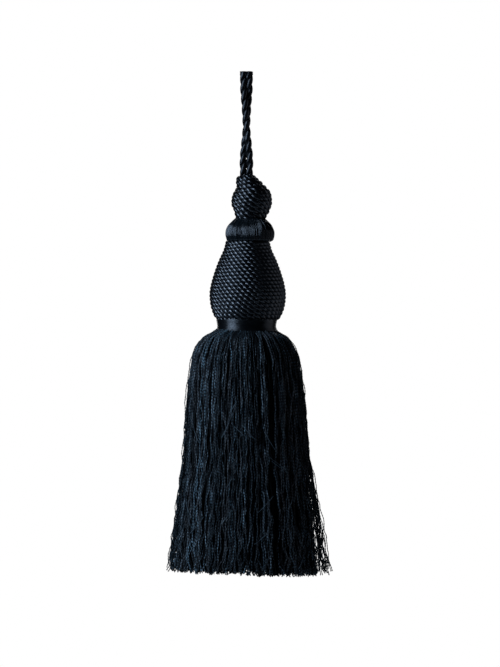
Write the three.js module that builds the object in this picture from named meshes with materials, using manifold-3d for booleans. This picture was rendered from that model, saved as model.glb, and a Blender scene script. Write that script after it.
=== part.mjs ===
// A hanging tassel of navy rayon: a doubled twisted cord with a bound end, a small wound knob, a satin
// ruff, a pear-shaped head wound with cord, a neck band and a long skirt of loose threads.
//
// Millimetres, +Z up, front towards -Y. The origin is the top end of the cord, where the tassel is
// hung, so all of it lies below z = 0. The pieces sit a little off one another's axes, as they do on
// a hand-made tassel, and neighbours keep SEAT_GAP between them.

import * as THREE from "three";
import { mergeVertices } from "three/addons/utils/BufferGeometryUtils.js";
import Module from "manifold-3d";

const wasm = await Module();
wasm.setup();

// ---------------------------------------------------------------- driving dimensions

const SEAT_GAP = 0.3;
const TURN = 2 * Math.PI;

// Heights of the stacked pieces, from the hanging end down.
const BINDING_HEIGHT = 2;
const CORD_DROP = 42.2;
const KNOB_HEIGHT = 17;
const RUFF_HEIGHT = 9;
const HEAD_HEIGHT = 31.4;
const BAND_HEIGHT = 4.8;
const SKIRT_LENGTH = 98;

// How far each piece's axis lies to the right of the head's.
const OFF_AXIS = { cord: -0.5, knob: 1.5, ruff: 0.9, head: 0, band: -0.4, skirt: -0.9 };

// Hanging cord: two legs of three plies each.
const LEG_DIAMETER = 2.6;
const LEG_PLIES = 3;
const LEG_LAY = 12.8;
const LEG_GROOVE = 0.32;
const LEG_STEPS_PER_LAY = 12;

// Where the legs lie about each other: how far apart their centres are, and how far round they have
// wound, at each distance below the hanging end.
const LEG_ROUTE = [
  { down: 0, apart: 2.75, wound: 0 },
  { down: 5, apart: 2.75, wound: 0.02 },
  { down: 13, apart: 2.75, wound: 0.16 },
  { down: 23, apart: 2.8, wound: 0.26 },
  { down: 30, apart: 2.8, wound: 0.37 },
  { down: 36.5, apart: 3.2, wound: 0.48 },
  { down: 42.2, apart: 2.75, wound: 0.5 },
];

// Thread binding round the two legs' top end.
const BINDING_WIDTH = 5.3;
const BINDING_DEPTH = 2.9;
const BINDING_TURNS = 4;
const BINDING_GROOVE = 0.1;

// Knob: the radius of its winding, and how far the winding's middle lies off the knob's own axis. The
// first turns grip the foot of the hanging cord, which stands left of the middle.
const KNOB_PROFILE = [
  { down: 0, radius: 3.6, aside: -1.8 },
  { down: 0.7, radius: 4.2, aside: -1.8 },
  { down: 2.2, radius: 5, aside: -1 },
  { down: 3.8, radius: 5.7, aside: -0.1 },
  { down: 5.4, radius: 6.8, aside: 0.3 },
  { down: 7.1, radius: 7.7, aside: 0.2 },
  { down: 9.4, radius: 8.1, aside: 0.1 },
  { down: 11.4, radius: 8.1, aside: 0.1 },
  { down: 14.2, radius: 7.1, aside: 0.1 },
  { down: 17, radius: 6, aside: -0.4 },
];

// Ruff, head and neck band: radius at each distance below the piece's top.
const RUFF_PROFILE = [
  { down: 0, radius: 6.1 },
  { down: 2, radius: 8.1 },
  { down: 4.2, radius: 9.3 },
  { down: 6.2, radius: 9.65 },
  { down: 7.8, radius: 9.4 },
  { down: 9, radius: 8.8 },
];
const HEAD_PROFILE = [
  { down: 0, radius: 8.8 },
  { down: 3.4, radius: 9.7 },
  { down: 8, radius: 11.75 },
  { down: 13, radius: 13.55 },
  { down: 17.5, radius: 14.8 },
  { down: 21.4, radius: 15.3 },
  { down: 26, radius: 14.85 },
  { down: 29.8, radius: 13.6 },
  { down: 31.4, radius: 12.5 },
];
const BAND_PROFILE = [
  { down: 0, radius: 12.2 },
  { down: 1.4, radius: 12 },
  { down: 2.8, radius: 11.85 },
  { down: 4.8, radius: 12.5 },
];

// Cord wound in level rows over the knob and the head. The last row of each is taller than its first
// by ROW_GROWTH.
const KNOB_TURNS = 10;
const KNOB_GROOVE = 0.5;
const HEAD_TURNS = 21;
const HEAD_GROOVE = 0.4;
const ROW_GROWTH = 0.34;
const KNOB_SIDES = 28;
const HEAD_SIDES = 24;

// Skirt: its outer radius, and how far its middle lies off its own axis, on the way down.
const SKIRT_PROFILE = [
  { down: 0, radius: 13.4, aside: 0 },
  { down: 1.6, radius: 16.3, aside: 0 },
  { down: 4, radius: 18.4, aside: -0.1 },
  { down: 8, radius: 20.3, aside: -0.1 },
  { down: 18, radius: 22.1, aside: 0 },
  { down: 40, radius: 23.8, aside: 0 },
  { down: 58, radius: 25.2, aside: 0.3 },
  { down: 70, radius: 27.6, aside: 1.2 },
  { down: 84, radius: 28.9, aside: 1.5 },
  { down: 90, radius: 30.3, aside: 1.7 },
  { down: 98, radius: 30.8, aside: 1.9 },
];
// The shoulder that holds the locks' roots: its levels, and the flutes between clumps of thread.
const SHOULDER_LEVELS = [0, 0.8, 1.9, 3.6, 6.4];
const SHOULDER_INSET = 0.35;
const SHOULDER_CLUMPS = 39;
const SHOULDER_FLUTE = 0.45;
// Rings of locks, from the outside in: how many, at what share of the outer radius, how deep they
// are, and the distances down at which their sections are set.
const OUTER_LEVELS = [3.4, 10, 28, 52, 74, 88];
const INNER_LEVELS = [4.4, 40, 76];
const LOCK_RINGS = [
  { count: 78, share: 0.96, depth: 1.8, levels: OUTER_LEVELS },
  { count: 50, share: 0.8, depth: 2.4, levels: OUTER_LEVELS },
  { count: 34, share: 0.61, depth: 2.8, levels: INNER_LEVELS },
  { count: 20, share: 0.4, depth: 3, levels: INNER_LEVELS },
  { count: 8, share: 0.17, depth: 2.6, levels: INNER_LEVELS },
];
const LOCK_FILL = 0.78;
const RIDGE_SHARE = 0.35;
const ROOT_INSET = 0.9;
const LOCK_UNEVEN = 3.2;
const LOCK_SWAY = 0.045;
const LOCK_BULGE = 0.8;
const LOCK_TAPER = 0.6;
const SEED = 20;

// Colours.
const NAVY = 0x141b24;
const DEEP_NAVY = 0x0d1319;

// ---------------------------------------------------------------- helpers

// Distances below the hanging end at which each piece starts and the skirt ends.
const KNOB_TOP = CORD_DROP;
const RUFF_TOP = KNOB_TOP + KNOB_HEIGHT;
const HEAD_TOP = RUFF_TOP + RUFF_HEIGHT;
const BAND_TOP = HEAD_TOP + HEAD_HEIGHT;
const SKIRT_TOP = BAND_TOP + BAND_HEIGHT;

// Numbers from 0 to 1 that are the same on every run.
function seededRandom(seed) {
  let state = seed;
  return () => {
    state = (state * 1664525 + 1013904223) % 4294967296;
    return state / 4294967296;
  };
}

// Slope of a column of a table at one row, for a smooth curve through all the rows.
function slopeAt(rows, i, column) {
  const before = rows[Math.max(i - 1, 0)];
  const after = rows[Math.min(i + 1, rows.length - 1)];
  return (after[column] - before[column]) / (after.down - before.down);
}

// A column of a table, read smoothly at any distance down.
function readTable(rows, down, column) {
  const held = THREE.MathUtils.clamp(down, rows[0].down, rows[rows.length - 1].down);
  const found = rows.findIndex((row) => row.down >= held);
  const i = Math.max(found, 1) - 1;
  const span = rows[i + 1].down - rows[i].down;
  const t = (held - rows[i].down) / span;
  const start = rows[i][column] * (1 + 2 * t) * (1 - t) ** 2;
  const end = rows[i + 1][column] * (3 - 2 * t) * t ** 2;
  const leave = slopeAt(rows, i, column) * span * t * (1 - t) ** 2;
  const arrive = slopeAt(rows, i + 1, column) * span * t ** 2 * (t - 1);
  return start + end + leave + arrive;
}

// A closed skin over rings of equally many points, listed from the top down, with a flat cap at each
// end. Each ring runs anticlockwise seen from above, and its middle sees all of its points.
function loft(rings) {
  const sides = rings[0].length;
  const points = rings.flat();
  const faces = [];
  for (let ring = 0; ring < rings.length - 1; ring++) {
    for (let side = 0; side < sides; side++) {
      const a = ring * sides + side;
      const b = ring * sides + ((side + 1) % sides);
      faces.push(a, a + sides, b + sides, a, b + sides, b);
    }
  }
  const last = (rings.length - 1) * sides;
  if (sides === 3) {
    faces.push(0, 1, 2, last, last + 2, last + 1);
    return new THREE.BufferGeometry().setFromPoints(points).setIndex(faces);
  }
  const top = points.push(middle(rings[0])) - 1;
  const bottom = points.push(middle(rings[rings.length - 1])) - 1;
  for (let side = 0; side < sides; side++) {
    const next = (side + 1) % sides;
    faces.push(top, side, next, bottom, last + next, last + side);
  }
  return new THREE.BufferGeometry().setFromPoints(points).setIndex(faces);
}

function middle(ring) {
  const sum = ring.reduce((total, point) => total.add(point), new THREE.Vector3());
  return sum.divideScalar(ring.length);
}

// A solid of revolution about Z from rows of radius and distance down, with flat ends.
function turned(rows, sides) {
  const top = new THREE.Vector2(0, -rows[0].down);
  const bottom = new THREE.Vector2(0, -rows[rows.length - 1].down);
  const wall = rows.map((row) => new THREE.Vector2(row.radius, -row.down));
  const geometry = new THREE.LatheGeometry([bottom, ...wall.reverse(), top], sides);
  return geometry.rotateX(Math.PI / 2);
}

// Distance down at which a winding has made a number of its turns, when its rows grow on the way.
function woundDown(turn, turns, height) {
  const share = turn / turns;
  return (height * (share + (ROW_GROWTH * share ** 2) / 2)) / (1 + ROW_GROWTH / 2);
}

// Rows of a profile with one rounded rib for each turn of a winding: a groove, then two points of
// the crest.
function ribbed(profile, turns, groove) {
  const height = profile[profile.length - 1].down;
  const rows = [{ down: 0, radius: readTable(profile, 0, "radius") - groove }];
  for (let turn = 0; turn < turns; turn++) {
    for (const [share, depth] of [[0.28, 0], [0.72, 0], [1, groove]]) {
      const down = woundDown(turn + share, turns, height);
      rows.push({ down, radius: readTable(profile, down, "radius") - depth });
    }
  }
  return rows;
}

// Evenly spaced rows of a smooth profile.
function evenRows(profile, steps) {
  const height = profile[profile.length - 1].down;
  return Array.from({ length: steps + 1 }, (_, i) => {
    const down = (i / steps) * height;
    return { down, radius: readTable(profile, down, "radius") };
  });
}

// Shortens a profile's distances so that its piece ends a gap above the next one.
function trimmed(rows) {
  const height = rows[rows.length - 1].down;
  const share = (height - SEAT_GAP) / height;
  return rows.map((row) => ({ ...row, down: row.down * share }));
}

function solidOf(geometry) {
  const bare = geometry.clone();
  bare.deleteAttribute("normal");
  bare.deleteAttribute("uv");
  const merged = mergeVertices(bare, 1e-4);
  const mesh = new wasm.Mesh({
    numProp: 3,
    vertProperties: merged.attributes.position.array,
    triVerts: new Uint32Array(merged.index.array),
  });
  return new wasm.Manifold(mesh);
}

function geometryOf(solid) {
  const mesh = solid.getMesh();
  const geometry = new THREE.BufferGeometry();
  geometry.setAttribute("position", new THREE.BufferAttribute(mesh.vertProperties, 3));
  geometry.setIndex(new THREE.BufferAttribute(mesh.triVerts, 1));
  return geometry;
}

function piece(name, geometry, color, roughness, x, down) {
  const material = new THREE.MeshStandardMaterial({ color, roughness, metalness: 0 });
  const mesh = new THREE.Mesh(geometry, material);
  mesh.name = name;
  mesh.position.set(x, 0, -down);
  geometry.computeVertexNormals();
  return mesh;
}

// ---------------------------------------------------------------- hanging cord

// Centre of one leg at a distance down. side is -1 for the leg that starts on the left, 1 for the
// other. The legs wind so that the left one passes in front.
function legCentre(side, down) {
  const apart = readTable(LEG_ROUTE, down, "apart");
  const angle = readTable(LEG_ROUTE, down, "wound") * TURN;
  const x = (side * Math.cos(angle) * apart) / 2;
  const y = (side * Math.sin(angle) * apart) / 2;
  return new THREE.Vector3(x, y, -down);
}

// One leg: a section of three lobes that turns on its way down.
function legGeometry(side) {
  const start = BINDING_HEIGHT + SEAT_GAP;
  const end = CORD_DROP - SEAT_GAP;
  const steps = Math.round(((end - start) / LEG_LAY) * LEG_STEPS_PER_LAY);
  const corners = LEG_PLIES * 3;
  const rings = [];
  for (let step = 0; step <= steps; step++) {
    const down = start + ((end - start) * step) / steps;
    const centre = legCentre(side, down);
    const twist = (-down / LEG_LAY) * TURN;
    const ring = [];
    for (let corner = 0; corner < corners; corner++) {
      const angle = (corner / corners) * TURN;
      const lobe = (1 + Math.cos(angle * LEG_PLIES)) / 2;
      const radius = LEG_DIAMETER / 2 - LEG_GROOVE * (1 - lobe);
      const x = radius * Math.cos(angle + twist);
      const y = radius * Math.sin(angle + twist);
      ring.push(centre.clone().add(new THREE.Vector3(x, y, 0)));
    }
    rings.push(ring);
  }
  return loft(rings);
}

// Outline of the binding, round both legs: two half circles joined by straight sides.
function bindingRing(inset, down) {
  const radius = BINDING_DEPTH / 2;
  const straight = BINDING_WIDTH / 2 - radius;
  const arcSteps = 8;
  const ring = [];
  for (const end of [1, -1]) {
    for (let step = 0; step <= arcSteps; step++) {
      const angle = (step / arcSteps - 0.5) * Math.PI + (end < 0 ? Math.PI : 0);
      const x = end * straight + (radius - inset) * Math.cos(angle);
      const y = (radius - inset) * Math.sin(angle);
      ring.push(new THREE.Vector3(x, y, -down));
    }
  }
  return ring;
}

function bindingGeometry() {
  const pitch = BINDING_HEIGHT / BINDING_TURNS;
  const rings = [bindingRing(BINDING_GROOVE, 0)];
  for (let turn = 0; turn < BINDING_TURNS; turn++) {
    rings.push(bindingRing(0, (turn + 0.5) * pitch));
    rings.push(bindingRing(BINDING_GROOVE, (turn + 1) * pitch));
  }
  return loft(rings);
}

// ---------------------------------------------------------------- knob

// The ball of cord. Its rows are rings whose middles shift from under the hanging cord to the ball's.
function knobGeometry() {
  const rows = trimmed(ribbed(KNOB_PROFILE, KNOB_TURNS, KNOB_GROOVE));
  const rings = rows.map(({ down, radius }) => {
    const aside = readTable(KNOB_PROFILE, down, "aside");
    return Array.from({ length: KNOB_SIDES }, (_, i) => {
      const angle = (i / KNOB_SIDES) * TURN;
      return new THREE.Vector3(aside + radius * Math.cos(angle), radius * Math.sin(angle), -down);
    });
  });
  return loft(rings);
}

// ---------------------------------------------------------------- skirt

// The shoulder, fluted where the threads run over it in clumps.
function shoulderGeometry() {
  const rings = SHOULDER_LEVELS.map((down, level) => {
    const radius = readTable(SKIRT_PROFILE, down, "radius") - SHOULDER_INSET;
    const flute = level === 0 ? 0 : SHOULDER_FLUTE;
    return Array.from({ length: SHOULDER_CLUMPS * 2 }, (_, i) => {
      const angle = (i / (SHOULDER_CLUMPS * 2)) * TURN;
      const reach = radius - (i % 2) * flute;
      return new THREE.Vector3(reach * Math.cos(angle), reach * Math.sin(angle), -down);
    });
  });
  return loft(rings);
}

// One lock of a ring: a three-sided strand with a ridge on its outer side. Its root starts inside the
// shoulder.
function lockGeometry(ring, angle, length, sway, loose) {
  const levels = [...ring.levels, length];
  const rings = levels.map((down, i) => {
    const bulge = LOCK_BULGE * (down / SKIRT_LENGTH) * Math.sin(loose + down / 17);
    const inset = i === 0 ? ROOT_INSET : -bulge;
    const reach = readTable(SKIRT_PROFILE, down, "radius") * ring.share - inset;
    const aside = readTable(SKIRT_PROFILE, down, "aside");
    const here = angle + LOCK_SWAY * Math.sin(sway + down / 13);
    const taper = i === levels.length - 1 ? LOCK_TAPER : 1;
    const ridge = reach + ring.depth * taper * RIDGE_SHARE;
    const back = reach - ring.depth * taper * (1 - RIDGE_SHARE);
    const half = (back * (TURN / ring.count) * LOCK_FILL * taper) / 2;
    const out = new THREE.Vector2(Math.cos(here), Math.sin(here));
    const across = new THREE.Vector2(-out.y, out.x);
    const corner = (outward, sideways) =>
      new THREE.Vector3(
        aside + out.x * outward + across.x * sideways,
        out.y * outward + across.y * sideways,
        -down,
      );
    return [corner(ridge, 0), corner(back, half), corner(back, -half)];
  });
  return loft(rings);
}

function skirtGeometry() {
  const random = seededRandom(SEED);
  let skirt = solidOf(shoulderGeometry());
  LOCK_RINGS.forEach((ring, place) => {
    for (let i = 0; i < ring.count; i++) {
      const angle = ((i + (place % 2) / 2) / ring.count) * TURN;
      const length = SKIRT_LENGTH - random() * LOCK_UNEVEN;
      const sway = 2 * Math.sin(angle * 2 + place);
      const loose = random() * TURN;
      skirt = skirt.add(solidOf(lockGeometry(ring, angle, length, sway, loose)));
    }
  });
  return geometryOf(skirt);
}

// ---------------------------------------------------------------- the tassel

const tassel = new THREE.Group();
tassel.name = "tassel";

for (const [name, side] of [["cord_leg_left", -1], ["cord_leg_right", 1]]) {
  tassel.add(piece(name, legGeometry(side), NAVY, 0.5, OFF_AXIS.cord, 0));
}
tassel.add(piece("cord_binding", bindingGeometry(), NAVY, 0.5, OFF_AXIS.cord, 0));
tassel.add(piece("knob", knobGeometry(), NAVY, 0.5, OFF_AXIS.knob, KNOB_TOP));

const ruff = turned(trimmed(evenRows(RUFF_PROFILE, 9)), 36);
tassel.add(piece("ruff", ruff, NAVY, 0.4, OFF_AXIS.ruff, RUFF_TOP));

const head = turned(trimmed(ribbed(HEAD_PROFILE, HEAD_TURNS, HEAD_GROOVE)), HEAD_SIDES);
tassel.add(piece("head", head, NAVY, 0.5, OFF_AXIS.head, HEAD_TOP));

const band = turned(trimmed(evenRows(BAND_PROFILE, 5)), 32);
tassel.add(piece("neck_band", band, NAVY, 0.4, OFF_AXIS.band, BAND_TOP));
tassel.add(piece("skirt", skirtGeometry(), DEEP_NAVY, 0.6, OFF_AXIS.skirt, SKIRT_TOP));

export default tassel;
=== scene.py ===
"""Navy key tassel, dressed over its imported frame: twisted cords as real plies, floss as fine threads,
and a skirt of crimped threads. Metres, +Z up, front towards -Y, origin at the cord's top end.

Most lengths are written in millimetres times MM. The skirt's shape is worked out in plain millimetres,
and its points are turned into metres last. Every surface is one skin over rings of points, so all the
pieces share the same few functions: paths first, then sections round them, then the skin.
"""
import math

import bpy
import numpy as np
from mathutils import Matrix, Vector


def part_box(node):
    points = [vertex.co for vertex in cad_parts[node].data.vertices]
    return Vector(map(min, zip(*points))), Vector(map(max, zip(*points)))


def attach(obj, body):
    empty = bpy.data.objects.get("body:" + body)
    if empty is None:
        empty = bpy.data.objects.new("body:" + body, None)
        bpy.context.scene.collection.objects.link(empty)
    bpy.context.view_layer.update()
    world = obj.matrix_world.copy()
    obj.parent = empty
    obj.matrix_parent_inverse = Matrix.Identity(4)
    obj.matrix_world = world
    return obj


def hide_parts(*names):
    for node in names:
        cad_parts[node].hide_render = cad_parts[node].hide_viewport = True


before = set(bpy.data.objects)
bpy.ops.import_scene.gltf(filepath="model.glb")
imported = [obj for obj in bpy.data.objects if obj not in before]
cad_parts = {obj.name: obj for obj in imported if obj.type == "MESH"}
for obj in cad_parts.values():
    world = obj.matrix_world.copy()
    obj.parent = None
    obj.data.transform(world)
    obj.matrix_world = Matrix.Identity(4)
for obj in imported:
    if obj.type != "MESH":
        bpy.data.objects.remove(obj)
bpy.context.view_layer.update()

MM = 0.001
TURN = 2 * math.pi
BODY = "root"
# Angles round the tassel are measured from +X, so the front is at three quarters of a turn.
BACK = TURN / 4
FRONT = TURN * 3 / 4

# ---------------------------------------------------------------- the frame's places

BIND_LOW, BIND_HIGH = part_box("cord_binding")
CORD_X = (BIND_LOW.x + BIND_HIGH.x) / 2
SKIRT_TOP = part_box("skirt")[1].z
# The skirt's threads hang round an upright line a little to the left of the cord.
SKIRT_X = -0.9 * MM

# ---------------------------------------------------------------- sizes of the threads and cords

# Hanging cord: distance down and how far apart the legs' centres are, in millimetres, and how far round
# they have wound, in turns. These are the points of the route in part.mjs.
LEG_ROUTE = np.array([
    # down, apart, wound
    (0.0, 2.75, 0.00),
    (5.0, 2.75, 0.02),
    (13.0, 2.75, 0.16),
    (23.0, 2.80, 0.26),
    (30.0, 2.80, 0.37),
    (36.5, 3.20, 0.48),
    (42.2, 2.75, 0.50),
])
LEG_DIAMETER = 3.0 * MM
LEG_LAY = 8.5 * MM
# The legs' plies sink into each other, so the legs are drawn together to this share of their distance.
LEG_PRESS = 0.8
# The legs run from inside the binding to inside the knob.
LEG_TOP = 0.3 * MM
LEG_FOOT = 43.4 * MM
# Points of a leg's route as it is declared, and rings and corners to a ply of the leg itself.
LEG_STEPS = 150
LEG_CORNERS = 14

# How each cord is plied: number of plies, depth of the creases between them as a share of the cord's
# diameter, and how flat the plies are between their creases, where 2 is round.
HANGING_PLIES = (2, 0.19, 2.4)
COVERING_PLIES = (3, 0.27, 4.4)

BIND_THREAD = 0.42 * MM
BIND_TURNS = 3.6
BIND_LAY = 1.6 * MM
# The turns of the binding press together, so its thread is this much thicker than BIND_THREAD.
BIND_SQUEEZE = 1.1

# Covering cord, wound in level rows. The last row of each form is taller than its first by ROW_GROWTH,
# and the cord is thicker than a row is tall, because the rows press together.
KNOB_TURNS = 10
HEAD_TURNS = 21
ROW_GROWTH = 0.34
ROW_SQUEEZE = 1.6
# The cord's centre lies this share of its thickness inside the crests of the frame's ribs.
ROW_SUNK = 0.47
# The winding starts this share of the radius nearer the middle, and is tucked in at its end from this
# share of a turn before the end of its last full turn.
START_DRAWN_IN = 0.75
TUCK_BEFORE = 0.1
COVERING_CORNERS = 7
# The plies of each row meet those of the next one this share of a ply's width further on, on a line
# this share of a turn past the back.
ROW_SHIFT = 0.3
MEETING_LINE = 0.42
# Lay of its plies at the first and the last row.
KNOB_LAY = (8.3 * MM, 8.3 * MM)
HEAD_LAY = (6.9 * MM, 7.3 * MM)

# Floss, in millimetres: how far its surface lies inside the frame's, how far its threads stand out from
# the creases between them, and how far they wave. RUFF_DENTS and BAND_SLANT are long waves round the
# tassel: their size, in millimetres or in threads, how many there are, and where they start.
RUFF_THREADS = 125
RUFF_SUNK = 0.1
RUFF_THREAD_RISE = 0.28
RUFF_WAVE = 0.08
RUFF_DENTS = ((0.06, 7, 1), (0.05, 17, 0))
BAND_THREADS = 15
BAND_SUNK = 0.15
BAND_THREAD_RISE = 0.12
BAND_WAVE = 0.05
BAND_SLANT = ((0.5, 1, 0.6), (0.25, 3, 0))
# The split at the ruff's front: depth in millimetres, where it is, how wide, how far it leans, and how
# far down its middle lies and how far it reaches, as shares of the ruff's height.
SPLIT_DEPTH = 0.5
SPLIT_ANGLE = FRONT - math.radians(22)
SPLIT_WIDTH = math.radians(1.5)
SPLIT_LEAN = 0.04
SPLIT_MIDDLE = 0.62
SPLIT_REACH = 0.22

# Skirt: distance down, radius of the dense threads and how far aside their middle lies. All lengths up
# to THREAD_RADIUS are in plain millimetres.
SKIRT_SHAPE = np.array([
    # down, radius, aside
    (-1.2, 11.4, 0.2),
    (0.0, 13.0, 0.1),
    (1.6, 16.0, 0.0),
    (4.0, 18.1, -0.1),
    (8.0, 20.1, -0.1),
    (18.0, 21.9, 0.0),
    (40.0, 23.2, 0.1),
    (53.6, 24.0, 0.2),
    (65.0, 25.3, 0.0),
    (75.0, 26.2, 0.0),
    (89.0, 27.8, -0.4),
    (99.0, 28.7, -0.4),
])
SKIRT_LENGTH = 97.6
# How the skirt's threads hang together: number of strands, the share by which each strand draws
# together, how far it sways and how far it stands out or in, and the wavelength of both.
STRANDS = (
    # number, drawn, sway, rise, wave
    (150, 0.3, 0.5, 0.6, 24),
    (54, 0.3, 0.9, 0.6, 60),
)
# A strand has drawn together at the first share of its length, and from the second one on it opens
# again by OPENED. At the top the strands lie askew by up to STRAND_SKEW, which fades on the way down.
STRAND_JOINED = 0.06
STRAND_OPENS = 0.8
OPENED = 0.6
STRAND_SKEW = 1.6
SKEW_FADE = 9
# Waves along a thread are set out on THREAD_RUN. They are how far it strays by itself and its crimp,
# each with a wavelength round the tassel and one in and out. All of them grow by FRAYED at its end.
THREAD_RUN = 98
STRAY_WAVES = (24, 18)
CRIMP_WAVES = (7, 8)
FRAYED = 0.9
FRAY_START = 0.84
# At its top a thread strays by this share of what it does at its end, and in and out it strays by
# STRAY_RISE of what it does to the side.
STRAY_AT_TOP = 0.25
STRAY_RISE = 0.8
# The threads on the left are this much shorter. A thread below the surface starts at this share of its
# depth, where the neck binds them all.
LEFT_SHORTER = 1.8
DEPTH_AT_TOP = 0.3
# The outer threads' zigzag, how far they stray and how unevenly they are cut.
OUTER_CRIMP, OUTER_STRAY, OUTER_CUT = 0.16, 0.6, 1.8

THREAD_RADIUS = 0.3 * MM
THREAD_SIDES = 3
# How far a thread's section turns from ring to ring, and how uneven its radius is.
THREAD_TURN = 0.12
THREAD_UNEVEN = (0.88, 1.12)
# Width of a thread round its section in the UV map.
THREAD_ROUND = 0.4 * MM
# How far the threads are drawn in between their beads, as a share of their radius.
BEAD_DEPTH = 0.4
# The beads of each thread are shifted by up to this share of a step, so they don't form level rows.
BEAD_SHIFT = 0.9

# ---------------------------------------------------------------- small helpers


def smoothly(table, at, column):
    """A column of a table read at distances down by smooth curves through its rows."""
    x, y = table[:, 0], table[:, column]
    slope = np.gradient(y, x)
    i = np.clip(np.searchsorted(x, at) - 1, 0, len(x) - 2)
    span = x[i + 1] - x[i]
    t = np.clip((at - x[i]) / span, 0, 1)
    start = y[i] * (1 + 2 * t) * (1 - t) ** 2 + slope[i] * span * t * (1 - t) ** 2
    end = y[i + 1] * (3 - 2 * t) * t**2 + slope[i + 1] * span * t**2 * (t - 1)
    return start + end


def ramp(at, start, length):
    """0 up to start, 1 from length further on, and a straight line between them."""
    return np.clip((at - start) / length, 0, 1)


def ripple(angle, waves):
    """Waves round the tassel, each with its size, how many there are round it and where it starts."""
    return sum(size * np.sin(angle * number + start) for size, number, start in waves)


def form(node, ribbed=False):
    """A turned node's top and height, and its table of distance down, radius and middle. A ribbed
    node's table holds only the crests of its ribs."""
    same_level = 0.01 * MM
    least_groove = 0.1 * MM
    places = np.array([v.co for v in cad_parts[node].data.vertices])
    levels = np.unique(places[:, 2].round(6))[::-1]
    rings = [places[np.abs(places[:, 2] - z) < same_level, 0] for z in levels]
    radius = np.array([(ring.max() - ring.min()) / 2 for ring in rings])
    middle = np.array([(ring.max() + ring.min()) / 2 for ring in rings])
    table = np.stack([levels[0] - levels, radius, middle], axis=-1)
    if ribbed:
        # A groove lies inside the line between the levels above and below it.
        groove = (radius[:-2] + radius[2:]) / 2 - radius[1:-1] > least_groove
        table = table[1:-1][~groove]
    return levels[0], levels[0] - levels[-1], table


def lengths_along(path):
    """Distance along each path from its start. path is (..., steps, 3)."""
    step = np.linalg.norm(np.diff(path, axis=-2), axis=-1)
    start = np.zeros(step.shape[:-1] + (1,))
    return np.concatenate([start, np.cumsum(step, axis=-1)], axis=-1)


def unit(vectors):
    return vectors / np.linalg.norm(vectors, axis=-1, keepdims=True)


def outward_of(points, x):
    """Level directions away from the upright line at x."""
    return unit((points - (x, 0, 0)) * (1, 1, 0))


def side_frame(path, outward):
    """Two directions square to the path: the one nearest outward, and the one beside it."""
    tangent = unit(np.gradient(path, axis=-2))
    beside = unit(np.cross(tangent, outward))
    return np.cross(beside, tangent), beside


def wander(rng, count, steps, length, wave):
    """Smooth random curves of about unit size, one a row, with waves of about the given length."""
    shares = (1.0, 0.6, 0.37)
    shortest, longest = 0.75, 1.3
    usual_size = 1.6
    at = np.linspace(0, length, steps)
    total = np.zeros((count, steps))
    for share in shares:
        phase = rng.uniform(0, TURN, (count, 1))
        stretch = rng.uniform(shortest, longest, (count, 1))
        total += share * np.sin(phase + TURN * at / (wave * share * stretch))
    return total / usual_size


# ---------------------------------------------------------------- skins

# Distance between two tubes in the UV map, in millimetres, so that no two have the same fibres.
UV_APART = 7.3


def quad_grid(tubes, steps, sides):
    """The tube, step and side of each quad."""
    return np.meshgrid(np.arange(tubes), np.arange(steps - 1), np.arange(sides), indexing="ij")


def tube_faces(tubes, steps, sides):
    """Corners of the quads along each tube, and of the caps at its two ends."""
    tube, step, side = quad_grid(tubes, steps, sides)
    first = (tube * steps + step) * sides
    after = (side + 1) % sides
    quads = np.stack(
        [first + side, first + after, first + sides + after, first + sides + side], axis=-1
    ).reshape(-1, 4)
    start = np.arange(tubes)[:, None] * steps * sides
    caps = np.concatenate([
        start + np.arange(sides)[None, ::-1],
        start + (steps - 1) * sides + np.arange(sides)[None, :],
    ])
    return quads, caps


def add_faces(mesh, quads, caps):
    loops = np.concatenate([quads.ravel(), caps.ravel()]).astype(np.int32)
    totals = np.concatenate([np.full(len(quads), 4), np.full(len(caps), caps.shape[1])])
    starts = np.concatenate([[0], np.cumsum(totals)[:-1]])
    mesh.loops.add(len(loops))
    mesh.loops.foreach_set("vertex_index", loops)
    mesh.polygons.add(len(totals))
    mesh.polygons.foreach_set("loop_start", starts.astype(np.int32))
    mesh.polygons.foreach_set("loop_total", totals.astype(np.int32))
    mesh.polygons.foreach_set("use_smooth", np.ones(len(totals), bool))


def map_fibres(along, section, around, turned_fibres):
    """Places of the quads' corners in millimetres, with u along the fibres."""
    tube, step, side = quad_grid(*along.shape, section.shape[1])
    u = along / MM
    v = np.concatenate([section, section[:, :1] + 1], axis=1) * around / MM
    corners = np.stack([
        np.stack([u[tube, step], UV_APART * tube + v[step, side]], -1),
        np.stack([u[tube, step], UV_APART * tube + v[step, side + 1]], -1),
        np.stack([u[tube, step + 1], UV_APART * tube + v[step + 1, side + 1]], -1),
        np.stack([u[tube, step + 1], UV_APART * tube + v[step + 1, side]], -1),
    ], axis=-2).reshape(-1, 2)
    return corners[:, ::-1] if turned_fibres else corners


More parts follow.
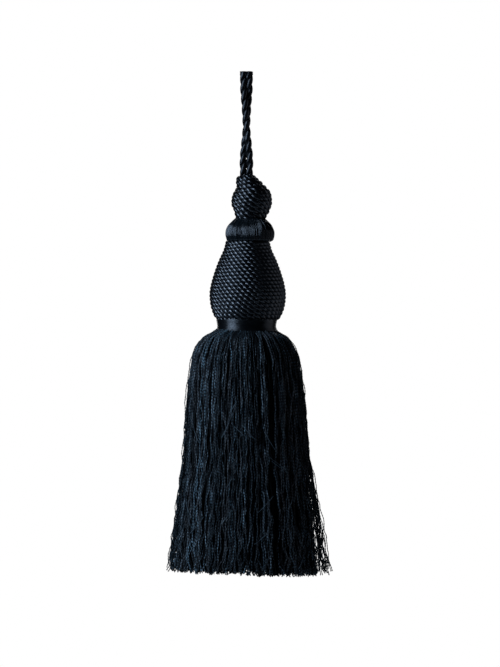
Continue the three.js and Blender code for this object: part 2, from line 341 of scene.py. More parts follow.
def skin(name, rings, along, material, around, section=None, turned_fibres=False, marks=()):
    """One mesh object over rings of points, (tubes, steps, sides, 3), closed at both ends.

    Its UV map "thread" has u along the fibres: from ring to ring, or round the ring with
    turned_fibres. along is the distance to each ring, around the length round one, and section holds
    how far round each point of each ring lies, in turns. marks are named numbers, one for each ring of
    each tube, kept on its points.
    """
    tubes, steps, sides, _ = rings.shape
    quads, caps = tube_faces(tubes, steps, sides)
    mesh = bpy.data.meshes.new(name)
    mesh.vertices.add(rings.size // 3)
    mesh.vertices.foreach_set("co", rings.reshape(-1).astype(np.float32))
    add_faces(mesh, quads, caps)

    if section is None:
        section = np.broadcast_to(np.arange(sides) / sides, (steps, sides))
    corners = map_fibres(along, section, around, turned_fibres)
    coords = np.concatenate([corners, np.zeros((caps.size, 2))]).astype(np.float32)
    mesh.uv_layers.new(name="thread").data.foreach_set("uv", coords.ravel())
    for label, values in marks:
        kept = mesh.attributes.new(label, "FLOAT", "POINT")
        kept.data.foreach_set("value", np.repeat(values.ravel(), sides).astype(np.float32))
    mesh.update(calc_edges=True)
    mesh.validate()
    mesh.materials.append(material)
    piece = bpy.data.objects.new(name, mesh)
    bpy.context.collection.objects.link(piece)
    return piece


def ply_section(corners, plied):
    """Angles, in turns, and radii, as shares of the diameter, of a plied cord's outline with so many
    corners to a ply."""
    plies, depth, flatness = plied
    # Corners lie closer together near the creases.
    local = np.sin(np.linspace(-1, 1, corners, endpoint=False) * math.pi / 2)
    reach = 0.5 - depth * np.abs(local) ** flatness
    ply = np.repeat(np.arange(plies), corners)
    return (np.tile(local, plies) / 2 + ply) / plies, np.tile(reach, plies)


def cord_rings(path, outward, diameter, twist, corners, plied=HANGING_PLIES):
    """Rings of a twisted cord along one path, and how far round each point lies, in turns. twist is how
    far the plies have turned at each step, and diameter is one for all of it or one for each step."""
    normal, beside = side_frame(path, outward)
    turns, reach = ply_section(corners, plied)
    section = turns[None, :] + twist[:, None]
    size = reach[None, :] * np.broadcast_to(diameter, len(path))[:, None]
    up = (size * np.cos(section * TURN))[..., None] * normal[:, None, :]
    over = (size * np.sin(section * TURN))[..., None] * beside[:, None, :]
    return (path[:, None, :] + up + over)[None], section


def turned_rings(top, down, radius, middle, sides):
    """Rings of a turned surface. radius is one for each ring, or one for each point of each ring."""
    angle = np.linspace(0, TURN, sides, endpoint=False)[None, :]
    radius = np.broadcast_to(radius.reshape(len(down), -1), (len(down), sides))
    x = middle[:, None] + radius * np.cos(angle)
    y = radius * np.sin(angle)
    z = np.broadcast_to(top - down[:, None], x.shape)
    return np.stack([x, y, z], axis=-1)[None]


def dress(piece, slot, *nodes):
    """The piece rides on the part's one body and stands for nodes. slot is not used."""
    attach(piece, BODY)
    if nodes:
        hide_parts(*nodes)
    return piece


# ---------------------------------------------------------------- materials

# Tint of the highlights, and the quarter turn that spreads them across the fibres.
BLUE_SHEEN = (0.51, 0.71, 1.0, 1)
ACROSS_FIBRES = 0.25
# Scale of a diagonal wave texture whose bands are one unit apart.
DIAGONAL_WAVE = 0.628
# Roughness between a thread's beads and on their crests, and colour factors there for painted shade
# between the beads and a painted highlight on each crest.
BEAD_ROUGHNESS = (0.95, 0.27)
BEAD_PAINTED_LIGHT = (0.05, 4.5)


def link(tree, start, end):
    tree.links.new(start, end)


def linked(socket):
    """What is linked into a socket."""
    return socket.links[0].from_socket


def mark(tree, name):
    """The numbers kept on a mesh's points under this name."""
    kept = tree.nodes.new("ShaderNodeAttribute")
    kept.attribute_name = name
    return kept.outputs["Fac"]


def mapped(tree, value, low, high, start=0.0, end=1.0):
    """The range from start to end spread over the range from low to high."""
    spread = tree.nodes.new("ShaderNodeMapRange")
    spread.inputs["From Min"].default_value = start
    spread.inputs["From Max"].default_value = end
    spread.inputs["To Min"].default_value = low
    spread.inputs["To Max"].default_value = high
    link(tree, value, spread.inputs["Value"])
    return spread.outputs["Result"]


def relief(tree, height, distance, strength=1.0):
    """A bump node whose full height is the distance, in metres."""
    bump = tree.nodes.new("ShaderNodeBump")
    bump.inputs["Strength"].default_value = strength
    bump.inputs["Distance"].default_value = distance
    link(tree, height, bump.inputs["Height"])
    return bump


def fibre_noise(tree, streak):
    """Noise drawn out along the thread, with so many streaks across each millimetre."""
    streaks_along = 0.35
    places = tree.nodes.new("ShaderNodeUVMap")
    places.uv_map = "thread"
    scale = tree.nodes.new("ShaderNodeMapping")
    scale.inputs["Scale"].default_value = (streaks_along, streak, 1)
    fibres = tree.nodes.new("ShaderNodeTexNoise")
    fibres.inputs["Scale"].default_value = 1.0
    fibres.inputs["Detail"].default_value = 4
    fibres.inputs["Roughness"].default_value = 0.6
    link(tree, places.outputs["UV"], scale.inputs["Vector"])
    link(tree, scale.outputs["Vector"], fibres.inputs["Vector"])
    return fibres.outputs["Fac"]


def two_tones(tree, fibres, dark, light):
    """Fibres in two tones, with the middle of their noise spread between them."""
    start, end = 0.32, 0.68
    tones = tree.nodes.new("ShaderNodeValToRGB")
    tones.color_ramp.elements[0].position = start
    tones.color_ramp.elements[0].color = (*dark, 1)
    tones.color_ramp.elements[1].position = end
    tones.color_ramp.elements[1].color = (*light, 1)
    link(tree, fibres, tones.inputs["Fac"])
    return tones.outputs["Color"]


def fibre_roughness(tree, fibres, roughness):
    """Roughness that differs a little from fibre to fibre."""
    smoother, rougher = 0.08, 0.1
    return mapped(tree, fibres, roughness - smoother, roughness + rougher, start=0.3, end=0.7)


def rayon(name, dark, light, streak, bump, gloss, spread, roughness=None):
    """Rayon thread: fine fibres along the thread in two tones, with their own gloss and relief.

    streak is how many streaks there are across each millimetre, bump their height in metres, and
    spread how much wider the highlight is across the fibres than along them. Without a roughness,
    beaded sets it.
    """
    material = bpy.data.materials.new(name)
    material.use_nodes = True
    tree = material.node_tree
    shader = tree.nodes["Principled BSDF"]
    shader.inputs["Specular IOR Level"].default_value = gloss
    shader.inputs["Specular Tint"].default_value = BLUE_SHEEN
    shader.inputs["Anisotropic"].default_value = spread
    shader.inputs["Anisotropic Rotation"].default_value = ACROSS_FIBRES

    fibres = fibre_noise(tree, streak)
    link(tree, two_tones(tree, fibres, dark, light), shader.inputs["Base Color"])
    if roughness:
        link(tree, fibre_roughness(tree, fibres, roughness), shader.inputs["Roughness"])
    link(tree, relief(tree, fibres, bump, strength=0.7).outputs["Normal"], shader.inputs["Normal"])

    grain = tree.nodes.new("ShaderNodeTangent")
    grain.direction_type = "UV_MAP"
    grain.uv_map = "thread"
    link(tree, grain.outputs["Tangent"], shader.inputs["Tangent"])
    return material


def beaded(material, wave, height):
    """Shades a thread that is drawn in between its beads: glossier on each bead's crest, which has the
    mark bead, with a painted highlight on the crest and painted shade between the beads, and all of it
    made lighter or deeper in tone by the mark shade. Its own fine twist has the given wavelength in
    millimetres and height in metres."""
    tree = material.node_tree
    shader = tree.nodes["Principled BSDF"]
    twist = tree.nodes.new("ShaderNodeTexWave")
    twist.bands_direction = "DIAGONAL"
    twist.inputs["Scale"].default_value = DIAGONAL_WAVE / wave
    link(tree, tree.nodes["UV Map"].outputs["UV"], twist.inputs["Vector"])
    twisted = relief(tree, twist.outputs["Fac"], height)
    link(tree, linked(shader.inputs["Normal"]), twisted.inputs["Normal"])
    link(tree, twisted.outputs["Normal"], shader.inputs["Normal"])

    bead = mark(tree, "bead")
    link(tree, mapped(tree, bead, *BEAD_ROUGHNESS), shader.inputs["Roughness"])
    # Painted light: the mark bead raises the colour into a painted highlight on each crest and lowers
    # it into painted shade between the beads.
    light = tree.nodes.new("ShaderNodeMath")
    light.operation = "MULTIPLY"
    link(tree, mapped(tree, bead, *BEAD_PAINTED_LIGHT), light.inputs[0])
    link(tree, mark(tree, "shade"), light.inputs[1])
    painted_light_colour = tree.nodes.new("ShaderNodeVectorMath")
    painted_light_colour.operation = "SCALE"
    link(tree, linked(shader.inputs["Base Color"]), painted_light_colour.inputs[0])
    link(tree, light.outputs["Value"], painted_light_colour.inputs["Scale"])
    link(tree, painted_light_colour.outputs["Vector"], shader.inputs["Base Color"])
    return material


def skirt_rayon(number, gloss):
    """Rayon of the skirt's threads with the given gloss."""
    name = f"skirt_rayon_{number}"
    plain = rayon(name, CREST_DARK, CREST_LIGHT, streak=5, bump=0.04 * MM, gloss=gloss, spread=0.3)
    return beaded(plain, wave=0.5, height=0.06 * MM)


# Tones of the fibres: navy ones in the cords and the band, lighter ones in the skirt, both in the ruff.
# In the skirt, beaded scales them into painted highlights and painted shade.
DARK_NAVY = (0.0004, 0.0006, 0.0012)
NAVY = (0.0014, 0.0022, 0.0038)
CREST_DARK = (0.0012, 0.0026, 0.0044)
CREST_LIGHT = (0.0040, 0.0082, 0.0130)

CORD_RAYON = rayon(
    "cord_rayon", DARK_NAVY, NAVY, streak=3, bump=0.06 * MM, gloss=0.36, spread=0.5, roughness=0.3
)
KNOB_RAYON = rayon(
    "knob_rayon", DARK_NAVY, NAVY, streak=4, bump=0.03 * MM, gloss=0.78, spread=0.7, roughness=0.3
)
HEAD_RAYON = rayon(
    "head_rayon", DARK_NAVY, NAVY, streak=4, bump=0.03 * MM, gloss=0.95, spread=0.7, roughness=0.3
)
RUFF_RAYON = rayon(
    "ruff_rayon", NAVY, CREST_LIGHT, streak=3, bump=0.05 * MM, gloss=0.57, spread=0.6, roughness=0.27
)
BAND_RAYON = rayon(
    "band_rayon", DARK_NAVY, NAVY, streak=3.2, bump=0.08 * MM, gloss=0.62, spread=0.75, roughness=0.37
)
# The skirt's threads differ in gloss. The dullest rayon, its gloss cut low as painted shade,
# is for the threads behind the outermost ones.
DULL_PAINTED_SHADE_RAYON, *FRONT_RAYONS = [
    skirt_rayon(i + 1, gloss) for i, gloss in enumerate((0.12, 0.3, 0.7, 1.0))
]

# ---------------------------------------------------------------- camera and cords


def make_camera():
    """Level, far off and at the middle of the tassel's height, as a long lens sees it."""
    photo_height_px = 667
    metres_per_px = 0.0004
    distance = 2.5
    sensor = 36.0
    centre = Vector((0.92 * MM, 0, -105.0 * MM))
    data = bpy.data.cameras.new("camera")
    data.sensor_width = sensor
    data.lens = sensor * distance / (photo_height_px * metres_per_px)
    camera = bpy.data.objects.new("camera", data)
    bpy.context.collection.objects.link(camera)
    camera.location = centre + Vector((0, -distance, 0))
    camera.rotation_euler = (math.radians(90), 0, 0)
    bpy.context.scene.camera = camera


def leg_path(side, count):
    """Centre line of one leg of the hanging cord, from its foot in the knob to the binding."""
    down = np.linspace(LEG_FOOT, LEG_TOP, count)
    apart = smoothly(LEG_ROUTE, down / MM, 1) * LEG_PRESS * MM
    angle = smoothly(LEG_ROUTE, down / MM, 2) * TURN
    x = CORD_X + side * np.cos(angle) * apart / 2
    y = side * np.sin(angle) * apart / 2
    return np.stack([x, y, -down], axis=-1)


def make_leg(name, side, node):
    """One leg of the hanging cord, on the left with side -1 and on the right with side 1."""
    path = leg_path(side, LEG_STEPS)
    outward = np.broadcast_to((0.0, -1.0, 0.0), path.shape)
    run = lengths_along(path)
    rings, section = cord_rings(path, outward, LEG_DIAMETER, run / LEG_LAY, LEG_CORNERS)
    piece = skin(name, rings, run[None], CORD_RAYON, TURN / 2 * LEG_DIAMETER, section)
    return dress(piece, "hanging_cord", node)


def oval_path(turns, width, depth, top, bottom, count):
    """A helix round the cord's end whose turns are ovals, from top down to bottom."""
    sharpness = 4
    radius = depth / 2
    angle = BACK + np.linspace(0, turns * TURN, count)
    stretch = (width / 2 - radius) * np.tanh(np.cos(angle) * sharpness)
    x = CORD_X + stretch + radius * np.cos(angle)
    return np.stack([x, radius * np.sin(angle), np.linspace(top, bottom, count)], axis=-1)


def make_binding():
    """A few turns of thread tied tightly round both legs' top end."""
    steps, corners = 420, 4
    width = BIND_HIGH.x - BIND_LOW.x - BIND_THREAD
    depth = BIND_HIGH.y - BIND_LOW.y - BIND_THREAD
    top = BIND_HIGH.z - BIND_THREAD / 2
    bottom = BIND_LOW.z + BIND_THREAD / 2
    path = oval_path(BIND_TURNS, width, depth, top, bottom, steps)
    outward = outward_of(path, CORD_X)
    run = lengths_along(path)
    rings, section = cord_rings(path, outward, BIND_THREAD * BIND_SQUEEZE, run / BIND_LAY, corners)
    coil = skin("cord_binding_thread", rings, run[None], CORD_RAYON, TURN / 2 * BIND_THREAD, section)
    return dress(coil, "hanging_cord", "cord_binding")


def make_cord_end(name, side):
    """The cut end of one leg, its plies domed inside the binding."""
    # Height over the leg's top in millimetres, and share of its diameter.
    levels = np.array([(-0.4, 1.0), (0.0, 0.97), (0.14, 0.85), (0.22, 0.6), (0.26, 0.25)])
    around = 8 * MM
    turns, reach = ply_section(LEG_CORNERS, HANGING_PLIES)
    path = leg_path(side, LEG_STEPS)
    top = path[-1]
    angle = (turns + lengths_along(path)[-1] / LEG_LAY) * TURN
    size = reach[None, :] * LEG_DIAMETER * levels[:, 1:2]
    x = top[0] + size * np.sin(angle)
    y = top[1] - size * np.cos(angle)
    z = np.broadcast_to(top[2] + levels[:, :1] * MM, x.shape)
    rings = np.stack([x, y, z], axis=-1)[None]
    along = (levels[None, :, 0] + 1) * MM
    return dress(skin(name, rings, along, CORD_RAYON, around), "hanging_cord")


make_camera()
leg_left = make_leg("cord_leg_left_plies", -1, "cord_leg_left")
leg_right = make_leg("cord_leg_right_plies", 1, "cord_leg_right")
cord_ends = [make_cord_end("cord_end_left", -1), make_cord_end("cord_end_right", 1)]
binding = [make_binding(), *cord_ends]

# ---------------------------------------------------------------- windings of covering cord


def winding(node, turns, steps_per_turn, lead_in, run_out, tuck):
    """Path, outward directions, diameters and turns done of the cord wound over a turned node.

    It starts at the back, after lead_in turns on which it spirals out over the top. After the last
    full turn it runs out under the next piece, where it is drawn in by tuck.
    """
    top, height, table = form(node, ribbed=True)
    turn = np.linspace(-lead_in, turns + run_out, int((turns + lead_in + run_out) * steps_per_turn))
    share = np.clip(turn, 0, None) / turns
    down = height * (share + ROW_GROWTH * share**2 / 2) / (1 + ROW_GROWTH / 2)
    row = height / turns * (1 + ROW_GROWTH * share) / (1 + ROW_GROWTH / 2)
    radius, middle = smoothly(table, down, 1), smoothly(table, down, 2)
    slope = np.interp(down, table[:, 0], np.gradient(table[:, 1], table[:, 0]))
    pitch = row * np.sqrt(1 + slope**2)
    angle = BACK + turn * TURN
    outward = unit(np.stack([np.cos(angle), np.sin(angle), slope], axis=-1))
    sunk = ROW_SUNK * pitch * ROW_SQUEEZE
    centre = radius - sunk * np.hypot(outward[:, 0], outward[:, 1])
    if lead_in:
        centre = centre * np.clip(1 + START_DRAWN_IN * turn / lead_in, 0, 1)
    centre = centre - tuck * ramp(turn, turns - TUCK_BEFORE, run_out + TUCK_BEFORE)
    x = middle + centre * np.cos(angle)
    z = top - down - sunk * outward[:, 2]
    path = np.stack([x, centre * np.sin(angle), z], axis=-1)
    return path, outward, pitch * ROW_SQUEEZE, turn


def matched_twist(path, turn, lays, plies):
    """How far the plies have turned at each step, in turns. Their lay is evened out so that on the
    meeting line each row's plies are ROW_SHIFT of a ply's width on from those of the row above."""
    lay = np.interp(turn, (0, turn.max()), lays)
    run = np.diff(lengths_along(path), prepend=0)
    passed = np.cumsum(run / lay) * plies
    meeting = np.arange(math.floor(turn[0]), math.ceil(turn[-1]) + 1) + MEETING_LINE
    at_line = np.interp(meeting, turn, passed)
    wanted = np.round(np.diff(at_line) - ROW_SHIFT) + ROW_SHIFT
    change = np.cumsum(np.insert(wanted, 0, 0)) + at_line[0] - at_line
    return (passed + np.interp(turn, meeting, change)) / plies


def make_winding(name, node, material, lays, **shape):
    """Covering cord over a turned node. lays are those of its first and last row, and shape is as
    winding takes it."""
    path, outward, diameter, turn = winding(node, **shape)
    twist = matched_twist(path, turn, lays, COVERING_PLIES[0])
    rings, section = cord_rings(path, outward, diameter, twist, COVERING_CORNERS, COVERING_PLIES)
    around = TURN / 2 * float(diameter.mean())
    piece = skin(name, rings, lengths_along(path)[None], material, around, section)
    return dress(piece, "covering_cord", node)


make_winding(
    "knob_winding", "knob", KNOB_RAYON, KNOB_LAY,
    turns=KNOB_TURNS, steps_per_turn=100, lead_in=1.0, run_out=0.9, tuck=0.8 * MM,
)
make_winding(
    "head_winding", "head", HEAD_RAYON, HEAD_LAY,
    turns=HEAD_TURNS, steps_per_turn=140, lead_in=0, run_out=0.8, tuck=1.6 * MM,
)

# ---------------------------------------------------------------- satin floss


def smooth_ends(table, rise, drop, draw_in):
    """The table with its first and last rows moved out past the node's ends, and drawn in there."""
    first = table[0] + (-rise, -draw_in, 0)
    last = table[-1] + (drop, -draw_in, 0)
    return np.concatenate([[first], table, [last]])


def make_ruff():
    """Floss laid up and down over the ring, thread beside thread."""
    rng = np.random.default_rng(11)
    rows, corners = 46, 5
    thinnest, thickest = 0.4, 1.3
    around = 60 * MM
    top, _, table = form("ruff")
    table = smooth_ends(table, rise=0.7 * MM, drop=0.45 * MM, draw_in=0.9 * MM)
    down = np.linspace(table[0, 0], table[-1, 0], rows)
    share = np.linspace(0, 1, rows)[:, None]
    sides = RUFF_THREADS * corners
    angle = np.linspace(0, TURN, sides, endpoint=False)[None, :]
    bump = np.tile(np.sin(np.linspace(0, math.pi, corners, endpoint=False)), RUFF_THREADS)
    thick = np.repeat(rng.uniform(thinnest, thickest, RUFF_THREADS), corners)
    wave = np.repeat(wander(rng, RUFF_THREADS, rows, length=10, wave=8), corners, axis=0).T
    from_split = (angle - SPLIT_ANGLE - SPLIT_LEAN * share) / SPLIT_WIDTH
    split_fade = np.exp(-(((share - SPLIT_MIDDLE) / SPLIT_REACH) ** 2))
    split = SPLIT_DEPTH * np.exp(-from_split**2) * split_fade
    height = RUFF_THREAD_RISE * bump * thick + RUFF_WAVE * wave * np.sin(share * math.pi)
    height = height + ripple(angle, RUFF_DENTS) - split
    radius = smoothly(table, down, 1)[:, None] - RUFF_SUNK * MM + height * MM
    rings = turned_rings(top, down, radius, smoothly(table, down, 2), sides)
    along = (down - down[0])[None]
    ruff = skin("ruff_floss", rings, along, RUFF_RAYON, around)
    return dress(ruff, "satin_floss", "ruff")


def make_band():
    """Floss wound round the neck, its threads crossing one another at a slight slant."""
    rng = np.random.default_rng(12)
    corners, sides = 4, 320
    around = 76 * MM
    rows = BAND_THREADS * corners + 1
    top, _, table = form("neck_band")
    table = smooth_ends(table, rise=0.6 * MM, drop=0.6 * MM, draw_in=0.5 * MM)
    down = np.linspace(table[0, 0], table[-1, 0], rows)
    share = np.linspace(0, 1, rows)[:, None]
    angle = np.linspace(0, TURN, sides, endpoint=False)[None, :]
    bump = np.abs(np.sin((share * BAND_THREADS + ripple(angle, BAND_SLANT)) * math.pi))
    wave = wander(rng, rows, sides, length=78, wave=26)
    height = BAND_THREAD_RISE * bump + BAND_WAVE * wave
    radius = smoothly(table, down, 1)[:, None] - BAND_SUNK * MM + height * MM
    rings = turned_rings(top, down, radius, smoothly(table, down, 2), sides)
    along = (down - down[0])[None]
    band = skin("neck_band_floss", rings, along, BAND_RAYON, around, turned_fibres=True)
    return dress(band, "satin_floss", "neck_band")


make_ruff()
make_band()

# ---------------------------------------------------------------- skirt


def meridian():
    """A function from the share of a thread's length to its distance down, in millimetres."""
    steps = 800
    down = np.linspace(SKIRT_SHAPE[0, 0], SKIRT_LENGTH, steps)
    run = lengths_along(np.stack([down, smoothly(SKIRT_SHAPE, down, 1)], axis=-1))
    return lambda share: np.interp(share * run[-1], run, down)


def placed(down, angle, radius, aside=0):
    """Points of the skirt in metres, from distances in millimetres and angles."""
    return np.stack([
        SKIRT_X + aside * MM + radius * MM * np.cos(angle),
        radius * MM * np.sin(angle),
        SKIRT_TOP - down * MM,
    ], axis=-1)


def strand_of(rng, root, number):
    """Which strand each thread belongs to, and the angle of that strand's middle."""
    uneven = 0.4
    even = np.linspace(0, TURN, number, endpoint=False)
    middle = np.sort(even + rng.uniform(-uneven, uneven, number) * TURN / number)
    gap = np.abs((root[:, None] - middle[None, :] + TURN / 2) % TURN - TURN / 2)
    index = gap.argmin(axis=1)
    nearest = middle[index]
    return index, nearest + np.round((root - nearest) / TURN) * TURN


def in_strands(rng, root, share, down, angle, radius, strand):
    """Angles and radii of threads drawn together into the strands of one row of STRANDS."""
    number, drawn, sway, rise, wave = strand
    steps = share.shape[1]
    index, centre = strand_of(rng, root, number)
    joined = ramp(share, 0, STRAND_JOINED) - OPENED * ramp(share, STRAND_OPENS, 1 - STRAND_OPENS)
    angle = angle - (root - centre)[:, None] * drawn * joined
    skew = rng.uniform(-STRAND_SKEW, STRAND_SKEW, number)[index][:, None] * np.exp(-down / SKEW_FADE)
    swayed = sway * wander(rng, number, steps, THREAD_RUN, wave)[index] * share**0.7
    angle = angle + (swayed + skew) / radius
    radius = radius + rise * wander(rng, number, steps, THREAD_RUN, wave)[index] * share**0.5
    return angle, radius


def thread_paths(rng, root, depth, steps, crimp, stray, cut, strands=()):
    """Paths of threads that start at the given angles and lie depth below the skirt's outline.

    crimp is how far each thread zigzags, stray how far it strays by itself and cut how unevenly the
    ends are cut, all in millimetres.
    """
    count = len(root)
    step = np.arange(steps)[None, :] + rng.uniform(-BEAD_SHIFT, BEAD_SHIFT, (count, 1))
    share = np.clip(step / (steps - 1), 0, 1)
    left_side = (1 - np.cos(root[:, None])) / 2
    short = rng.uniform(0, cut, (count, 1)) + LEFT_SHORTER * left_side
    down = meridian()(share) - short * share**3
    radius = smoothly(SKIRT_SHAPE, down, 1) - depth * (DEPTH_AT_TOP + (1 - DEPTH_AT_TOP) * share)
    angle = np.repeat(root[:, None], steps, axis=1)
    for strand in strands:
        angle, radius = in_strands(rng, root, share, down, angle, radius, strand)
    frayed = 1 + FRAYED * ramp(share, FRAY_START, 1 - FRAY_START) ** 1.5
    loose = (STRAY_AT_TOP + (1 - STRAY_AT_TOP) * share) * frayed
    side_stray, rise_stray = STRAY_WAVES
    angle = angle + stray * wander(rng, count, steps, THREAD_RUN, side_stray) * loose / radius
    radius = radius + STRAY_RISE * stray * wander(rng, count, steps, THREAD_RUN, rise_stray) * loose
    side_crimp, rise_crimp = CRIMP_WAVES
    angle = angle + crimp * wander(rng, count, steps, THREAD_RUN, side_crimp) * frayed / radius
    radius = radius + crimp * wander(rng, count, steps, THREAD_RUN, rise_crimp) * frayed
    return placed(down, angle, radius, smoothly(SKIRT_SHAPE, down, 2))


def thread_rings(rng, paths, radius, beads):
    """Thin threads along many paths, slowly turning. Every other ring is drawn in by BEAD_DEPTH of the
    radius where beads is true, and otherwise the thread is only a little uneven."""
    normal, beside = side_frame(paths, outward_of(paths, SKIRT_X))
    count, steps, _ = paths.shape
    start = rng.uniform(0, TURN, (count, 1, 1))
    corner = np.linspace(0, TURN, THREAD_SIDES, endpoint=False)[None, None, :]
    angle = start + corner + THREAD_TURN * np.arange(steps)[None, :, None]
    reach = radius * rng.uniform(*THREAD_UNEVEN, (count, steps, 1))
    if beads:
        reach = reach * (1 - BEAD_DEPTH * (np.arange(steps) % 2))[None, :, None]
    up = (reach * np.cos(angle))[..., None] * normal[:, :, None, :]
    over = (reach * np.sin(angle))[..., None] * beside[:, :, None, :]
    return paths[:, :, None, :] + up + over


def make_threads(name, rng, paths, radius, shade, material, nodes=(), beads=True):
    """One piece of the skirt's threads. shade is one number a thread: its tone, which on some threads
    is painted shade or a painted highlight. A thread without beads gets the painted light of halfway up
    a bead."""
    halfway = 0.5
    rings = thread_rings(rng, paths, radius, beads)
    count, steps, _ = paths.shape
    bead = 1 - np.arange(steps) % 2 if beads else np.full(steps, halfway)
    marks = [("shade", np.repeat(shade, steps)), ("bead", np.tile(bead, count))]
    piece = skin(name, rings, lengths_along(paths), material, THREAD_ROUND, marks=marks)
    return dress(piece, "skirt_thread", *nodes)


def make_outer_threads():
    """The outermost threads, dull or glossy, with their beads. A few of them are much lighter."""
    rng = np.random.default_rng(31)
    count, steps = 350, 165
    deepest = 1.2
    darkest, lighter = 0.15, 7.0
    root = np.sort(rng.uniform(0, TURN, count))
    depth = rng.uniform(0, deepest, (count, 1))
    shade = darkest + lighter * rng.uniform(0, 1, count) ** 3
    paths = thread_paths(rng, root, depth, steps, OUTER_CRIMP, OUTER_STRAY, OUTER_CUT, STRANDS)
    kind = rng.permutation(np.arange(count) % len(FRONT_RAYONS))
    for i, material in enumerate(FRONT_RAYONS):
        chosen = kind == i
        nodes = ("skirt",) if i == 0 else ()
        name = f"skirt_threads_{i + 1}"
        make_threads(name, rng, paths[chosen], THREAD_RADIUS, shade[chosen], material, nodes)


def make_deep_threads():
    """The dull threads just behind the outermost ones, with painted shade that deepens with their
    depth.
    """
    rng = np.random.default_rng(35)
    count, steps = 460, 42
    shallowest, deepest = 0.9, 2.8
    black_depth, darker = 3, 0.15
    root = np.sort(rng.uniform(0, TURN, count))
    depth = rng.uniform(shallowest, deepest, (count, 1))
    paths = thread_paths(rng, root, depth, steps, OUTER_CRIMP, OUTER_STRAY, OUTER_CUT, STRANDS)
    # Painted shade: a thread's colour falls off with its depth.
    shade = darker * (black_depth - depth[:, 0])
    make_threads("skirt_deep_threads", rng, paths, THREAD_RADIUS, shade, DULL_PAINTED_SHADE_RAYON, beads=False)


def make_inner_threads():
    """Coarse dark threads between the others and the middle, so no light comes through the skirt. Their
    dark colour is painted shade for the skirt's inside.
    """
    rng = np.random.default_rng(22)
    count, steps = 420, 22
    shallowest, further = 2.4, 17
    radius = THREAD_RADIUS * 1.8
    root = rng.uniform(0, TURN, count)
    depth = shallowest + further * np.linspace(0, 1, count)[:, None] ** 1.5
    paths = thread_paths(rng, root, depth, steps, crimp=0.3, stray=0.8, cut=2.0)
    # Painted shade: the inner threads' colour is cut to a tenth.
    shade = np.full(count, 0.1)
    make_threads("skirt_inner_threads", rng, paths, radius, shade, DULL_PAINTED_SHADE_RAYON, beads=False)


def make_loose_threads():
    """Threads that have come away from the rest, half of them at the two sides as the eye sees them,
    and furthest away at the bottom right."""
    rng = np.random.default_rng(23)
    count, steps = 110, 180
    radius = THREAD_RADIUS * 0.85
    beside = 0.3
    far_start = 0.55
    root = rng.uniform(0, TURN, count)
    root[::2] = rng.choice((0, TURN / 2), count // 2) + rng.uniform(-beside, beside, count // 2)
    paths = thread_paths(rng, root, np.zeros((count, 1)), steps, OUTER_CRIMP, OUTER_STRAY, cut=3.0)
    share = np.linspace(0, 1, steps)[None, :, None]
    right_side = np.clip(np.cos(root), 0, 1)[:, None, None] ** 3
    # How far off each thread stands below its start, and how much further at the bottom right.
    start = rng.uniform(0.02, 0.5, (count, 1, 1))
    near = rng.uniform(0.3, 2.8, (count, 1, 1)) * ramp(share, start, 1 - start) ** 0.4
    far = rng.uniform(0.1, 4.8, (count, 1, 1)) * right_side
    far = far * ramp(share, far_start, 1 - far_start) ** 0.8
    paths = paths + outward_of(paths, SKIRT_X) * (near + far) * MM
    shade = rng.uniform(0.8, 1.5, count)
    make_threads("skirt_loose_threads", rng, paths, radius, shade, FRONT_RAYONS[0])


def make_hairs():
    """Short ends that stick out across the threads, as fine bright lines with a painted highlight."""
    rng = np.random.default_rng(24)
    count, steps = 50, 14
    radius = THREAD_RADIUS * 0.4
    above, rise = 0.5, 0.8
    curl = 0.3
    root = rng.uniform(0, TURN, (count, 1))
    middle = rng.uniform(22, 92, (count, 1))
    length = rng.uniform(4, 11, (count, 1))
    down = middle + np.linspace(-0.5, 0.5, steps) * length
    lean = rng.uniform(2, 6, (count, 1)) * rng.choice((-1, 1), (count, 1))
    share = np.linspace(0, 1, steps)[None, :]
    out = smoothly(SKIRT_SHAPE, down, 1) + above + rise * share
    paths = placed(down, root + lean * (share + curl * share**2) / out, out)
    # Painted highlight: the hairs' colour is made several times lighter than most threads'.
    shade = np.full(count, 4.5)
    make_threads("skirt_hairs", rng, paths, radius, shade, FRONT_RAYONS[-1], beads=False)


make_outer_threads()
make_deep_threads()
make_inner_threads()
make_loose_threads()
make_hairs()

# ---------------------------------------------------------------- stage and light


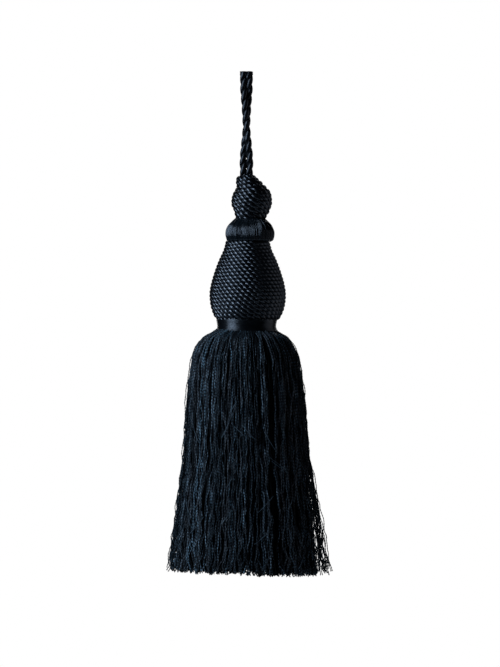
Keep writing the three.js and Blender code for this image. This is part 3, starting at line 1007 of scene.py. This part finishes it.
def area_light(name, azimuth, height, size, power, colour=(1, 1, 1)):
    """A panel that faces the tassel. azimuth is in degrees from the front, to the right, and height
    that over the tassel's middle."""
    distance = 1.25
    target = Vector((0, 0, -0.11))
    angle = math.radians(azimuth)
    data = bpy.data.lights.new(name, "AREA")
    data.shape = "RECTANGLE"
    data.size, data.size_y = size
    data.energy = power
    data.color = colour
    lamp = bpy.data.objects.new(name, data)
    bpy.context.collection.objects.link(lamp)
    place = Vector((math.sin(angle), -math.cos(angle), 0)) * distance
    lamp.location = target + place + Vector((0, 0, height))
    aim = target - lamp.location
    lamp.rotation_euler = aim.to_track_quat("-Z", "Y").to_euler()


def make_light():
    """The photo's light: a large one from the left, a weak warm one from the right, and one behind."""
    warm = (1, 0.9, 0.86)
    area_light("back", azimuth=180, height=0.3, size=(1.0, 1.6), power=5)
    area_light("key", azimuth=-62, height=0.45, size=(0.72, 1.3), power=22)
    area_light("fill", azimuth=99, height=-0.1, size=(1.0, 1.2), power=1.7, colour=warm)


def make_world():
    """A white backdrop to the eye, and only a faint light on the tassel."""
    strength = 0.01
    world = bpy.data.worlds.new("studio")
    bpy.context.scene.world = world
    world.use_nodes = True
    tree = world.node_tree
    tree.nodes.clear()
    seen = tree.nodes.new("ShaderNodeBackground")
    seen.inputs["Color"].default_value = (1, 1, 1, 1)
    faint = tree.nodes.new("ShaderNodeBackground")
    faint.inputs["Color"].default_value = (0.9, 0.95, 1, 1)
    faint.inputs["Strength"].default_value = strength
    rays = tree.nodes.new("ShaderNodeLightPath")
    mixed = tree.nodes.new("ShaderNodeMixShader")
    out = tree.nodes.new("ShaderNodeOutputWorld")
    link(tree, rays.outputs["Is Camera Ray"], mixed.inputs["Fac"])
    link(tree, faint.outputs["Background"], mixed.inputs[1])
    link(tree, seen.outputs["Background"], mixed.inputs[2])
    link(tree, mixed.outputs["Shader"], out.inputs["Surface"])


def make_floor():
    """A pale floor well below the hanging tassel, out of the main view."""
    size, drop = 0.8, -0.9
    mesh = bpy.data.meshes.new("floor")
    corners = [(-size, -size, drop), (size, -size, drop), (size, size, drop), (-size, size, drop)]
    mesh.from_pydata(corners, [], [(0, 1, 2, 3)])
    material = bpy.data.materials.new("floor_white")
    material.use_nodes = True
    shader = material.node_tree.nodes["Principled BSDF"]
    shader.inputs["Base Color"].default_value = (0.9, 0.9, 0.9, 1)
    shader.inputs["Roughness"].default_value = 0.8
    mesh.materials.append(material)
    floor = bpy.data.objects.new("floor", mesh)
    bpy.context.collection.objects.link(floor)


make_light()
make_world()
make_floor()
bpy.context.scene.view_settings.view_transform = "Standard"
